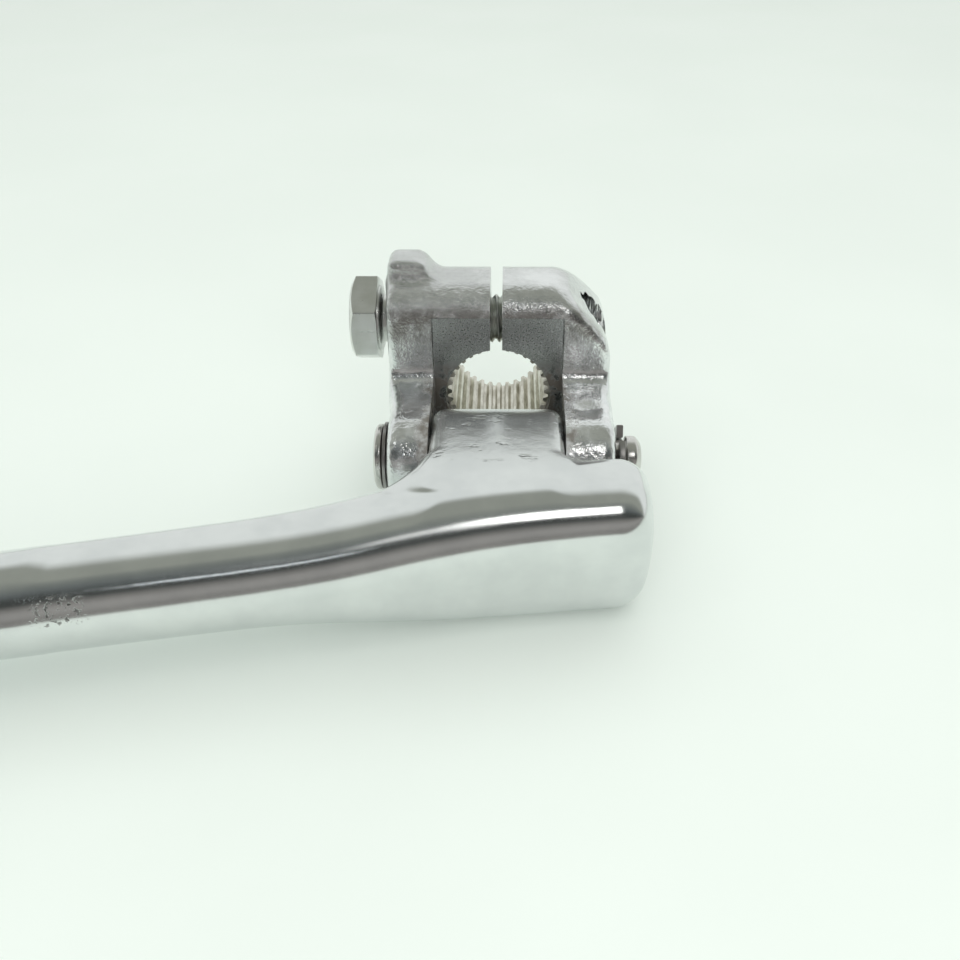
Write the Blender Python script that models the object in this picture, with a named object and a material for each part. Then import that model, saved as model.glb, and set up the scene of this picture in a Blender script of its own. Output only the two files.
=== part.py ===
# Folding kick start lever for a motorcycle.
# A split boss clamps on the splined starter shaft. The arm's lug turns on a cross pin
# between the boss's two legs, so that the arm unfolds to kick and folds in to ride.
# X runs along the arm and the pin, Y runs along the shaft towards the engine, Z is up.
import math

import bmesh
import bpy
from mathutils import Matrix, Vector

MM = 0.001
GAP = 0.3 * MM  # clearance that neighbouring solids keep

# Clamp boss
BORE_Z = 18.0 * MM  # height of the shaft's axis over the surface that the lever lies on
BORE_ROOT_R = 8.4 * MM
BORE_TIP_R = 7.7 * MM
SERRATIONS = 32
BOSS_LEFT = -17.8 * MM
BOSS_RIGHT = 18.2 * MM
BOSS_DEPTH = 18.0 * MM
BOSS_TOP = BORE_Z + 18.2 * MM
BOSS_CROWN_R = 5.5 * MM
BOSS_REAR_R = 8.5 * MM
BOSS_CORNER_R = 3.0 * MM
SLOT_WIDTH = 2.0 * MM
PAD_RIGHT = -11.0 * MM
PAD_TOP = BOSS_TOP + 3.1 * MM
PAD_FRONT = 5.5 * MM
PAD_REAR = 14.2 * MM
FACE_DEPTH = 0.4 * MM  # the milled face between the legs lies this far behind their fronts
FACE_TOP = BORE_Z + 14.3 * MM
FACET_START = 10.9 * MM  # where the sloped facet leaves the top face
FACET_END_Z = 28.0 * MM

# Pivot
PIN_Y = -11.5 * MM
PIN_Z = 14.0 * MM
PIN_R = 3.5 * MM
EYE_R = 7.5 * MM
LEG_INNER = 10.5 * MM
LEG_FILLET_R = 1.5 * MM
LUG_HALF = LEG_INNER - GAP
LEG_TAPER = 0.8 * MM  # how much the left leg thins towards its eye
EYE_LEFT = BOSS_LEFT + LEG_TAPER
LUG_EYE_R = 7.6 * MM
HEEL_LOW = 1.5 * MM  # the lug's heel rests on the milled face below the bore
HEEL_TOP = 9.0 * MM
PIN_HEAD_R = 5.2 * MM
PIN_HEAD_LENGTH = 1.5 * MM
PIN_END = 22.7 * MM
WASHER_LENGTH = 0.5 * MM
WASHER_R = 5.5 * MM
CLIP_LENGTH = 1.0 * MM
CLIP_R = 5.2 * MM
CLIP_MOUTH_DEG = 50.0
GROOVE_R = 2.9 * MM

# Pinch bolt, M8 with a 13 mm hexagon
BOLT_Y = 9.0 * MM
BOLT_Z = 28.0 * MM
BOLT_R = 4.0 * MM
BOLT_FLATS = 13.0 * MM
BOLT_HEAD = 5.0 * MM
BOLT_LENGTH = 30.0 * MM
BOLT_BACKED_OUT = 1.7 * MM
BOLT_TURN_DEG = 28.0  # how far a corner of the hexagon stands from straight back

# Detent, a ball and a spring in the lug
BALL_R = 1.25 * MM
BALL_TRAVEL = 0.5 * MM
DETENT_RADIUS = 5.8 * MM  # from the pin's axis
DETENT_DEPTH = 9.0 * MM
SPRING_WIRE_R = 0.2 * MM
SPRING_TURNS = 6
FOLD_DEG = 90.0

# Arm
ARM_Z = 10.9 * MM
HEAD_END = 23.0 * MM
DOME_START = 15.0 * MM
DOME_POWER = 3.0
BEND_START = -165.0 * MM
ARM_SLOPE = 0.215  # how far the straight arm leans towards -Y for each unit along -X
SLOPE_LOSS = 0.00166 / MM
HEAD_BEND_X = -15.0 * MM
HEAD_BEND_Y = -32.0 * MM
BEND_R = 16.0 * MM
STEM_LENGTH = 70.0 * MM
STEM_R = 6.5 * MM
FLARE_START = 8.0 * MM  # from the pin's axis
FLARE_CUT_R = EYE_R + GAP

# Pedal rubber
RUBBER_R = 10.8 * MM
RIB_DEPTH = 1.6 * MM
RIB_COUNT = 9
RUBBER_START = 4.0 * MM  # from the end of the bend
RUBBER_TIP = 5.0 * MM  # thickness of the closed end


def clear_scene():
    for old in list(bpy.data.objects):
        bpy.data.objects.remove(old, do_unlink=True)


def material(name, colour, roughness, metallic):
    made = bpy.data.materials.new(name)
    made.use_nodes = True
    shader = made.node_tree.nodes["Principled BSDF"]
    shader.inputs["Base Color"].default_value = (*colour, 1.0)
    shader.inputs["Roughness"].default_value = roughness
    shader.inputs["Metallic"].default_value = metallic
    return made


def add_object(name, bm, finish=None, parent=None, smooth_deg=35.0):
    """Put a bmesh in a new object; a piece gets a finish, a cutter gets none."""
    bmesh.ops.recalc_face_normals(bm, faces=bm.faces)
    mesh = bpy.data.meshes.new(name)
    bm.to_mesh(mesh)
    bm.free()
    made = bpy.data.objects.new(name, mesh)
    bpy.context.scene.collection.objects.link(made)
    made.parent = parent
    if finish is None:
        made.hide_render = True
        made.display_type = "WIRE"
        return made
    mesh.materials.append(finish)
    mesh.shade_smooth()
    mesh.set_sharp_from_angle(angle=math.radians(smooth_deg))
    return made


def boolean(target, cutter, operation="DIFFERENCE"):
    step = target.modifiers.new(cutter.name, "BOOLEAN")
    step.operation = operation
    step.solver = "EXACT"
    step.object = cutter


def arc(centre, radius, start_deg, end_deg, steps):
    """Points on an arc in a plane, both ends included."""
    points = []
    for i in range(steps + 1):
        angle = math.radians(start_deg + (end_deg - start_deg) * i / steps)
        across = centre[0] + radius * math.cos(angle)
        points.append((across, centre[1] + radius * math.sin(angle)))
    return points


def prism(outline, axis, start, end):
    """Extrude a closed outline along an axis. An outline is (Y, Z) for X, (X, Z) for Y."""
    place = {
        "X": lambda a, b: Vector((start, a, b)),
        "Y": lambda a, b: Vector((a, start, b)),
        "Z": lambda a, b: Vector((a, b, start)),
    }[axis]
    way = {"X": Vector((1, 0, 0)), "Y": Vector((0, 1, 0)), "Z": Vector((0, 0, 1))}[axis]
    bm = bmesh.new()
    face = bm.faces.new([bm.verts.new(place(a, b)) for a, b in outline])
    grown = bmesh.ops.extrude_face_region(bm, geom=[face])
    moved = [v for v in grown["geom"] if isinstance(v, bmesh.types.BMVert)]
    bmesh.ops.translate(bm, verts=moved, vec=way * (end - start))
    bmesh.ops.triangulate(bm, faces=[f for f in bm.faces if len(f.verts) > 4])
    return bm


def turned(profile, segments, axis="X"):
    """Spin a profile of (along, radius) points about an axis through the origin."""
    bm = bmesh.new()
    verts = [bm.verts.new((along, 0.0, radius)) for along, radius in profile]
    edges = [bm.edges.new((a, b)) for a, b in zip(verts, verts[1:])]
    bmesh.ops.spin(
        bm,
        geom=verts + edges,
        cent=(0, 0, 0),
        axis=(1, 0, 0),
        angle=2 * math.pi,
        steps=segments,
    )
    bmesh.ops.remove_doubles(bm, verts=bm.verts, dist=1e-6)
    if axis == "Y":
        bmesh.ops.rotate(bm, verts=bm.verts, matrix=Matrix.Rotation(-math.pi / 2, 3, "Z"))
    return bm


def loft(rings):
    """Bridge closed rings of the same number of points, and cap both ends."""
    bm = bmesh.new()
    loops = [[bm.verts.new(point) for point in ring] for ring in rings]
    for ring in loops:
        for a, b in zip(ring, ring[1:] + ring[:1]):
            bm.edges.new((a, b))
    for near, far in zip(loops, loops[1:]):
        edges = []
        for ring in (near, far):
            edges += [bm.edges.get((a, b)) for a, b in zip(ring, ring[1:] + ring[:1])]
        bmesh.ops.bridge_loops(bm, edges=edges)
    for ring in (loops[0], loops[-1]):
        cap = bm.faces.new(ring)
        bmesh.ops.triangulate(bm, faces=[cap])
    return bm


def shifted(bm, x=0.0, y=0.0, z=0.0):
    bmesh.ops.translate(bm, verts=bm.verts, vec=(x, y, z))
    return bm


# Clamp boss


def boss_front_outline():
    """The boss from the front: rounded lower corners and one sloped facet at the top right."""
    corner = BOSS_CORNER_R
    points = arc((BOSS_LEFT + corner, corner), corner, 180, 270, 5)
    points += arc((BOSS_RIGHT - corner, corner), corner, 270, 360, 5)
    points += [(BOSS_RIGHT, FACET_END_Z), (FACET_START, BOSS_TOP)]
    points += arc((BOSS_LEFT + 1.5 * MM, BOSS_TOP - 1.5 * MM), 1.5 * MM, 90, 180, 4)
    return points


def leg_side_outline():
    """The boss from the side: crowned clamp, small fillet, level leg top, round eye about the pin."""
    crown = BOSS_CROWN_R
    rear = BOSS_REAR_R
    fillet = LEG_FILLET_R
    level = PIN_Z + EYE_R
    points = arc((BOSS_DEPTH - rear, BOSS_TOP - rear), rear, 0, 90, 10)
    points += arc((crown, BOSS_TOP - crown), crown, 90, 180, 8)
    points += arc((-fillet, level + fillet), fillet, 0, -90, 4)
    points += arc((PIN_Y, PIN_Z), EYE_R, 90, 245, 20)
    points += [(1.0 * MM, 0.0)]
    points += arc((BOSS_DEPTH - 2.0 * MM, 2.0 * MM), 2.0 * MM, 270, 360, 4)
    return points


def taper_outline():
    """The room outside the left leg, from above: it thins the leg towards its eye."""
    front = PIN_Y - EYE_R - 2 * MM
    points = [(BOSS_LEFT, -MM), (EYE_LEFT, PIN_Y + 0.4 * EYE_R), (EYE_LEFT, front)]
    return points + [(BOSS_LEFT - 3 * MM, front), (BOSS_LEFT - 3 * MM, -MM)]


def fork_outline():
    """The room for the lug between the legs, back to the milled face."""
    front = PIN_Y - EYE_R - 2 * MM
    return [(front, -2 * MM), (FACE_DEPTH, -2 * MM), (FACE_DEPTH, FACE_TOP), (front, FACE_TOP)]


def serrated_outline():
    """Round bore with pointed serrations, one tip to each tooth."""
    points = []
    for tooth in range(SERRATIONS):
        for share, radius in ((0.0, BORE_TIP_R), (0.5, BORE_ROOT_R)):
            angle = 2 * math.pi * (tooth + share) / SERRATIONS
            across = radius * math.cos(angle)
            points.append((across, BORE_Z + radius * math.sin(angle)))
    return points


def slot_outline():
    half = SLOT_WIDTH / 2
    return [(-half, BORE_Z), (half, BORE_Z), (half, PAD_TOP), (-half, PAD_TOP)]


def pad_outline():
    """Raised pad at the top left, with a slope down to the clamp's top face."""
    base = BOSS_TOP - 4 * MM
    points = [(BOSS_LEFT, base), (PAD_RIGHT + 2 * MM, base)]
    points += [(PAD_RIGHT + 1.2 * MM, BOSS_TOP + 0.2 * MM), (PAD_RIGHT, PAD_TOP - 0.8 * MM)]
    points += [(PAD_RIGHT - 1.0 * MM, PAD_TOP)]
    points += arc((BOSS_LEFT + 2 * MM, PAD_TOP - 2 * MM), 2 * MM, 90, 180, 4)
    return points


def pad_side_outline():
    """The pad from the side, rounded over at the front and at the rear."""
    low = BOSS_TOP - 5 * MM
    points = [(PAD_REAR, low)]
    points += arc((PAD_REAR - 4 * MM, PAD_TOP - 4 * MM), 4 * MM, 0, 90, 5)
    points += arc((PAD_FRONT + 4 * MM, PAD_TOP - 4 * MM), 4 * MM, 90, 180, 5)
    points += [(PAD_FRONT, low)]
    return points


def detent_spot(turn_deg):
    """Where the detent lies as the arm folds up: on the neck side of the pin at 0."""
    turn = math.radians(turn_deg)
    along = PIN_Y - DETENT_RADIUS * math.cos(turn)
    return along, PIN_Z + DETENT_RADIUS * math.sin(turn)


def dimple_cutter(name, turn_deg, parent):
    """A shallow ball-shaped pocket in the right leg's inner face."""
    y, z = detent_spot(turn_deg)
    bm = bmesh.new()
    pocket_r = BALL_R + GAP
    bmesh.ops.create_icosphere(bm, subdivisions=2, radius=pocket_r)
    centre = LUG_HALF - BALL_R + BALL_TRAVEL + GAP / 2
    return add_object(name, shifted(bm, centre, y, z), parent=parent)


def make_boss(frame, finish):
    boss = add_object(
        "clamp_boss",
        prism(boss_front_outline(), "Y", -20 * MM, BOSS_DEPTH + 2 * MM),
        finish,
        frame,
    )
    side = prism(leg_side_outline(), "X", BOSS_LEFT - 2 * MM, BOSS_RIGHT + 2 * MM)
    boolean(boss, add_object("boss_side_guide", side, parent=frame), "INTERSECT")
    pad = add_object("pad_guide", prism(pad_outline(), "Y", 0.0, BOSS_DEPTH + MM), parent=frame)
    pad_side = prism(pad_side_outline(), "X", BOSS_LEFT - MM, 0.0)
    boolean(pad, add_object("pad_side_guide", pad_side, parent=frame), "INTERSECT")
    boolean(boss, pad, "UNION")
    cuts = {
        "fork_cutter": prism(fork_outline(), "X", -LEG_INNER, LEG_INNER),
        "taper_cutter": prism(taper_outline(), "Z", -MM, BOSS_TOP),
        "bore_cutter": prism(serrated_outline(), "Y", -MM, BOSS_DEPTH + MM),
        "slot_cutter": prism(slot_outline(), "Y", -MM, BOSS_DEPTH + MM),
        "pin_hole_cutter": shifted(round_bar(PIN_R + GAP, -30 * MM, 30 * MM, 40), 0, PIN_Y, PIN_Z),
        "bolt_hole_cutter": shifted(
            round_bar(BOLT_R + GAP, -30 * MM, 30 * MM, 32), 0, BOLT_Y, BOLT_Z
        ),
    }
    for name, shape in cuts.items():
        boolean(boss, add_object(name, shape, parent=frame))
    boolean(boss, dimple_cutter("dimple_cutter_out", 0.0, frame))
    boolean(boss, dimple_cutter("dimple_cutter_folded", FOLD_DEG, frame))


def round_bar(radius, start, end, segments):
    return turned([(start, 0.0), (start, radius), (end, radius), (end, 0.0)], segments)


# Fasteners and pin


def make_bolt(frame, finish):
    """Hexagon bolt along X, head at the left, its underside just clear of the boss."""
    under = BOSS_LEFT - BOLT_BACKED_OUT
    head = []
    for corner in range(6):
        angle = math.radians(60 * corner + BOLT_TURN_DEG)
        radius = BOLT_FLATS / math.sqrt(3)
        head.append((radius * math.cos(angle), radius * math.sin(angle)))
    bolt = add_object("pinch_bolt", prism(head, "X", under - BOLT_HEAD, under), finish, frame)
    dome = [
        (under - BOLT_HEAD - MM, 0.0),
        (under - BOLT_HEAD - MM, BOLT_FLATS / 2 - 1.8 * MM),
        (under - BOLT_HEAD + 1.2 * MM, BOLT_FLATS / 2 + 1.6 * MM),
        (under - 0.5 * MM, BOLT_FLATS / 2 + 1.6 * MM),
        (under + MM, BOLT_FLATS / 2 - 0.3 * MM),
        (under + MM, 0.0),
    ]
    boolean(bolt, add_object("bolt_dome_guide", turned(dome, 36), parent=bolt), "INTERSECT")
    end = under + BOLT_LENGTH
    shank = [
        (under - MM, 0.0),
        (under - MM, BOLT_R),
        (end - MM, BOLT_R),
        (end, BOLT_R - MM),
        (end, 0.0),
    ]
    boolean(bolt, add_object("bolt_shank_guide", turned(shank, 32), parent=bolt), "UNION")
    bolt.location = (0, BOLT_Y, BOLT_Z)


def make_pin(pivot, finish):
    """Headed pin along X through both legs and the lug, with a groove for its circlip."""
    head_right = EYE_LEFT - 2 * GAP - WASHER_LENGTH
    head_left = head_right - PIN_HEAD_LENGTH
    groove = BOSS_RIGHT + GAP
    profile = [
        (head_left, 0.0),
        (head_left, PIN_HEAD_R - 0.5 * MM),
        (head_left + 0.4 * MM, PIN_HEAD_R),
        (head_right, PIN_HEAD_R),
        (head_right, PIN_R),
        (groove, PIN_R),
        (groove, GROOVE_R),
        (groove + CLIP_LENGTH + 2 * GAP, GROOVE_R),
        (groove + CLIP_LENGTH + 2 * GAP, PIN_R),
        (PIN_END - 0.9 * MM, PIN_R),
        (PIN_END - 0.2 * MM, PIN_R - 0.9 * MM),
        (PIN_END, 0.0),
    ]
    add_object("pivot_pin", turned(profile, 40), finish, pivot)


def ring(inner, outer, start, end, segments):
    return turned(
        [(start, inner), (start, outer), (end, outer), (end, inner), (start, inner)], segments
    )


def make_washer(pivot, finish):
    end = EYE_LEFT - GAP
    shape = ring(PIN_R + GAP, WASHER_R, end - WASHER_LENGTH, end, 36)
    add_object("pin_head_washer", shape, finish, pivot)


def make_circlip(pivot, finish):
    """Flat spring ring in the pin's groove, open at one side."""
    start = BOSS_RIGHT + 2 * GAP
    inner = GROOVE_R + GAP
    open_half = CLIP_MOUTH_DEG / 2
    outline = arc((0.0, 0.0), CLIP_R, 90 + open_half, 450 - open_half, 30)
    outline += arc((0.0, 0.0), inner, 450 - open_half, 90 + open_half, 30)
    bm = prism(outline, "X", start, start + CLIP_LENGTH)
    add_object("pin_circlip", bm, finish, pivot)


# Detent


def make_ball(pivot, finish):
    y, z = detent_spot(0.0)
    bm = bmesh.new()
    bmesh.ops.create_uvsphere(bm, u_segments=16, v_segments=10, radius=BALL_R)
    ball = add_object("detent_ball", bm, finish, pivot, 60.0)
    ball.location = (LUG_HALF - BALL_R, y - PIN_Y, z - PIN_Z)


def make_spring(pivot, finish):
    """Compression spring behind the ball, a round wire along a helix about X."""
    y, z = detent_spot(0.0)
    start = LUG_HALF - DETENT_DEPTH + GAP + SPRING_WIRE_R
    end = LUG_HALF - 2 * BALL_R - GAP - SPRING_WIRE_R
    coil_r = BALL_R - SPRING_WIRE_R
    curve = bpy.data.curves.new("detent_spring", "CURVE")
    curve.dimensions = "3D"
    curve.bevel_depth = SPRING_WIRE_R
    curve.bevel_resolution = 1
    curve.use_fill_caps = True
    steps = 12 * SPRING_TURNS
    spline = curve.splines.new("POLY")
    spline.points.add(steps)
    for i, point in enumerate(spline.points):
        turn = 2 * math.pi * SPRING_TURNS * i / steps
        along = start + (end - start) * i / steps
        point.co = (along, coil_r * math.cos(turn), coil_r * math.sin(turn), 1.0)
    curve.materials.append(finish)
    made = bpy.data.objects.new("detent_spring", curve)
    bpy.context.scene.collection.objects.link(made)
    made.parent = pivot
    made.location = (0, y - PIN_Y, z - PIN_Z)


# Arm


def arm_centre_y(x):
    """The arm's centre line leans evenly, and straightens out towards the head's end."""
    past = max(x - HEAD_BEND_X, 0.0)
    return HEAD_BEND_Y + ARM_SLOPE * (x - HEAD_BEND_X) - SLOPE_LOSS * past * past


# station X, half width, half height, squareness power of the section
ARM_SECTIONS = (
    (15.0 * MM, 7.6 * MM, 10.75 * MM, 4.2),
    (3.0 * MM, 7.6 * MM, 10.7 * MM, 4.0),
    (-6.0 * MM, 7.8 * MM, 10.3 * MM, 3.5),
    (-12.0 * MM, 8.0 * MM, 9.8 * MM, 3.1),
    (-17.0 * MM, 8.1 * MM, 9.2 * MM, 2.8),
    (-21.0 * MM, 8.1 * MM, 8.6 * MM, 2.5),
    (-26.0 * MM, 7.9 * MM, 8.1 * MM, 2.3),
    (-35.0 * MM, 7.7 * MM, 7.7 * MM, 2.1),
    (-52.0 * MM, 7.6 * MM, 7.6 * MM, 2.0),
    (-70.0 * MM, 7.4 * MM, 7.4 * MM, 2.0),
    (-120.0 * MM, 7.2 * MM, 7.2 * MM, 2.0),
    (BEND_START, 7.0 * MM, 7.0 * MM, 2.0),
)
SECTION_POINTS = 32


def section(centre, side, half_width, half_height, power):
    """Closed superellipse of points across the unit vector side and up."""
    points = []
    for i in range(SECTION_POINTS):
        angle = 2 * math.pi * i / SECTION_POINTS
        c = math.cos(angle)
        s = math.sin(angle)
        across = half_width * math.copysign(abs(c) ** (2 / power), c)
        up = half_height * math.copysign(abs(s) ** (2 / power), s)
        points.append(centre + side * across + Vector((0, 0, up)))
    return points


def arm_rings():
    """Sections from the domed end of the head, along the arm, round the bend, to the peg."""
    rings = []
    first = ARM_SECTIONS[0]
    reach = HEAD_END - DOME_START
    for share in (0.9995, 0.985, 0.94, 0.86, 0.7, 0.45):
        x = DOME_START + reach * share
        scale = (1 - share**DOME_POWER) ** (1 / DOME_POWER)
        centre = Vector((x, arm_centre_y(x), ARM_Z))
        halves = (first[1] * scale, first[2] * scale, first[3])
        rings.append(section(centre, Vector((0, 1, 0)), *halves))
    for x, half_width, half_height, power in ARM_SECTIONS:
        centre = Vector((x, arm_centre_y(x), ARM_Z))
        lean = math.atan(ARM_SLOPE) * min(1.0, max(0.0, (DOME_START - x) / (40 * MM)))
        side = Vector((-math.sin(lean), math.cos(lean), 0))
        rings.append(section(centre, side, half_width, half_height, power))
    lean = math.atan(ARM_SLOPE)
    start = Vector((BEND_START, arm_centre_y(BEND_START), ARM_Z))
    middle = start + Vector((math.sin(lean), -math.cos(lean), 0)) * BEND_R
    for step in range(1, 9):
        turn = lean + (math.pi / 2 - lean) * step / 8
        side = Vector((-math.sin(turn), math.cos(turn), 0))
        radius = 7.0 * MM + (STEM_R - 7.0 * MM) * step / 8
        rings.append(section(middle + side * BEND_R, side, radius, radius, 2.0))
    stem = middle + Vector((-BEND_R, 0, 0))
    side = Vector((-1, 0, 0))
    for along, radius in ((STEM_LENGTH - MM, STEM_R), (STEM_LENGTH, STEM_R - MM)):
        rings.append(section(stem - Vector((0, along, 0)), side, radius, radius, 2.0))
    return rings, stem


def lug_outline():
    """The lug from the side: heel at the milled face, eye about the pin, level neck to the head."""
    head_y = arm_centre_y(0.0)
    heel = FACE_DEPTH - GAP
    level = PIN_Z + LUG_EYE_R
    points = [(heel, HEEL_LOW), (heel, HEEL_TOP)]
    points += arc((PIN_Y, PIN_Z), LUG_EYE_R, -30, 90, 16)
    points += [(head_y, level - 0.5 * MM), (head_y, HEEL_LOW)]
    return points


def flare_outline():
    """The neck from above: it widens into the head in a quarter of an ellipse at each side."""
    points = []
    for side, wide, deep in ((-1, 8.0 * MM, 5.5 * MM), (1, 2.0 * MM, 1.5 * MM)):
        edge = side * LUG_HALF
        start_y = PIN_Y - FLARE_START
        curve = []
        for i in range(9):
            angle = math.radians(90 * i / 8)
            x = edge + side * wide * (1 - math.cos(angle))
            curve.append((x, start_y - deep * math.sin(angle)))
        curve.append((edge + side * wide, arm_centre_y(0.0)))
        points += curve if side < 0 else curve[::-1]
    return points


def make_arm(pivot, finish):
    rings, stem = arm_rings()
    centred = [[p - Vector((0, PIN_Y, PIN_Z)) for p in ring_points] for ring_points in rings]
    arm = add_object("kick_arm", loft(centred), finish, pivot, 40.0)
    lug = prism(lug_outline(), "X", -LUG_HALF, LUG_HALF)
    boolean(arm, add_object("lug_guide", shifted(lug, 0, -PIN_Y, -PIN_Z), parent=pivot), "UNION")
    low = ARM_Z - 8.0 * MM
    flare = shifted(prism(flare_outline(), "Z", low, low + 16 * MM), 0, -PIN_Y, -PIN_Z)
    boolean(arm, add_object("flare_guide", flare, parent=pivot), "UNION")
    sweep = [(FLARE_CUT_R, 12 * MM), (-FLARE_CUT_R, 12 * MM)] + arc((0, 0), FLARE_CUT_R, 180, 360, 20)
    for name, side in (("left_leg_sweep", -1), ("right_leg_sweep", 1)):
        ends = sorted((side * LUG_HALF, side * 30 * MM))
        boolean(arm, add_object(name, prism(sweep, "X", ends[0], ends[1]), parent=pivot))
    bore = round_bar(PIN_R + GAP, -15 * MM, 15 * MM, 40)
    boolean(arm, add_object("lug_bore_cutter", bore, parent=pivot))
    y, z = detent_spot(0.0)
    blind = round_bar(BALL_R + GAP, LUG_HALF - DETENT_DEPTH, LUG_HALF + MM, 20)
    blind_cutter = add_object("detent_hole_cutter", blind, parent=pivot)
    blind_cutter.location = (0, y - PIN_Y, z - PIN_Z)
    boolean(arm, blind_cutter)
    return stem


def make_rubber(pivot, finish, stem):
    """Ribbed sleeve with a closed end, open where the peg goes in."""
    inner = STEM_R + GAP
    length = STEM_LENGTH - RUBBER_START + GAP + RUBBER_TIP
    profile = [(0.0, inner), (0.0, RUBBER_R - 1.5 * MM), (1.5 * MM, RUBBER_R)]
    pitch = (length - 14 * MM) / RIB_COUNT
    for rib in range(RIB_COUNT):
        at = 5 * MM + pitch * rib
        profile += [(at, RUBBER_R), (at + 0.2 * pitch, RUBBER_R - RIB_DEPTH)]
        profile += [(at + 0.5 * pitch, RUBBER_R - RIB_DEPTH), (at + 0.7 * pitch, RUBBER_R)]
    profile += [(length - 4 * MM, RUBBER_R), (length - MM, RUBBER_R - 2 * MM)]
    profile += [(length, RUBBER_R - 5 * MM), (length, 0.0)]
    inside = STEM_LENGTH - RUBBER_START + GAP
    profile = [(inside, 0.0), (inside, inner)] + profile
    sleeve = add_object("pedal_rubber", turned(profile, 36, "Y"), finish, pivot, 40.0)
    sleeve.location = stem - Vector((0, PIN_Y + RUBBER_START, PIN_Z))


def stand_on_origin(root):
    """Move the whole lever so that its box stands centred on the origin."""
    bpy.context.view_layer.update()
    graph = bpy.context.evaluated_depsgraph_get()
    points = []
    for piece in bpy.data.objects:
        if piece.hide_render or piece.type not in {"MESH", "CURVE"}:
            continue
        seen = piece.evaluated_get(graph)
        shape = seen.to_mesh()
        points += [seen.matrix_world @ v.co for v in shape.vertices]
        seen.to_mesh_clear()
    low = [min(p[k] for p in points) for k in range(3)]
    high = [max(p[k] for p in points) for k in range(3)]
    root.location = (-(low[0] + high[0]) / 2, -(low[1] + high[1]) / 2, -low[2])


def add_empty(name, parent=None, location=(0, 0, 0)):
    made = bpy.data.objects.new(name, None)
    bpy.context.scene.collection.objects.link(made)
    made.parent = parent
    made.location = location
    return made


def make_lever():
    clear_scene()
    cast_chrome = material("cast_chrome", (0.62, 0.61, 0.58), 0.25, 1.0)
    bright_chrome = material("bright_chrome", (0.78, 0.79, 0.78), 0.06, 1.0)
    zinc = material("zinc_plated_steel", (0.66, 0.66, 0.64), 0.32, 1.0)
    pin_steel = material("pin_steel", (0.60, 0.59, 0.57), 0.3, 1.0)
    washer_steel = material("washer_steel", (0.35, 0.34, 0.33), 0.4, 1.0)
    spring_steel = material("spring_steel", (0.28, 0.28, 0.29), 0.35, 1.0)
    clip_steel = material("clip_steel", (0.30, 0.29, 0.28), 0.35, 1.0)
    ball_steel = material("ball_steel", (0.72, 0.72, 0.72), 0.1, 1.0)
    rubber = material("rubber", (0.025, 0.025, 0.027), 0.75, 0.0)
    frame = add_empty("lever_frame")
    pivot = add_empty("fold_axis", frame, (0, PIN_Y, PIN_Z))
    make_boss(frame, cast_chrome)
    make_bolt(frame, zinc)
    make_pin(pivot, pin_steel)
    make_washer(pivot, washer_steel)
    make_circlip(pivot, clip_steel)
    make_ball(pivot, ball_steel)
    make_spring(pivot, spring_steel)
    stem = make_arm(pivot, bright_chrome)
    make_rubber(pivot, rubber, stem)
    stand_on_origin(frame)


make_lever()
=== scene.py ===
import math

import bmesh
import bpy
import numpy as np
from mathutils import Matrix, Vector


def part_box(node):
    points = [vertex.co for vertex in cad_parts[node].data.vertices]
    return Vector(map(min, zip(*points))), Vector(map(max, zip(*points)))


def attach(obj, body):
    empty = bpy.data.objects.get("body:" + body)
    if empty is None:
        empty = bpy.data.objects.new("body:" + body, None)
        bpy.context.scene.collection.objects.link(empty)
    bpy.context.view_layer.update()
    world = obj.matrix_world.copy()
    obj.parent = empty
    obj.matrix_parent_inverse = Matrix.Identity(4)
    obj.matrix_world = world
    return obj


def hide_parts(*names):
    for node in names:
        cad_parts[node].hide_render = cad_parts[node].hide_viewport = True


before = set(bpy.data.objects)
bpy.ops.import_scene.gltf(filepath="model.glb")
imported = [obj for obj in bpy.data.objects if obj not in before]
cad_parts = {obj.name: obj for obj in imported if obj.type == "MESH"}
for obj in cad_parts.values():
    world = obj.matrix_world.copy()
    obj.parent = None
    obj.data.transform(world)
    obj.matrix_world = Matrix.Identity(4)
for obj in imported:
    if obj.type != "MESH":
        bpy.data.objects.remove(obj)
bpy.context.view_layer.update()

# A folding kick start lever. Shapes are worked out in millimetres from the bore's axis at
# the boss's front face: x along the pin, y along the bore to the rear, z up from the floor.
mm = 0.001
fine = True
bossLow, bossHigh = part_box("clamp_boss")
bossDepth = 18.0
bossLeft = -17.8
originX = bossLow.x / mm - bossLeft
originY = bossHigh.y / mm - bossDepth
boreZ = 18.0
pinY, pinZ = -11.5, 14.0
gap = 0.3  # room round the pin, the ball and the spring


def place(points):  # millimetres at the bore to metres in the frame
    moved = np.asarray(points, float).reshape(-1, 3) + (originX, originY, 0.0)
    return moved * mm


def meshFrom(name, points, faces, sharp=30.0):
    mesh = bpy.data.meshes.new(name)
    mesh.from_pydata(place(points).tolist(), [], [list(f) for f in faces])
    mesh.validate()
    mesh.shade_smooth()
    if sharp:
        mesh.set_sharp_from_angle(angle=math.radians(sharp))
    made = bpy.data.objects.new(name, mesh)
    bpy.context.scene.collection.objects.link(made)
    return made


def gridFaces(rows, cols, closed=True):  # quads between neighbouring rings
    r, c = np.meshgrid(np.arange(rows - 1), np.arange(cols if closed else cols - 1), indexing="ij")
    n = (c + 1) % cols
    quads = np.stack([r * cols + c, r * cols + n, (r + 1) * cols + n, (r + 1) * cols + c], -1)
    return quads.reshape(-1, 4)


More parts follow.
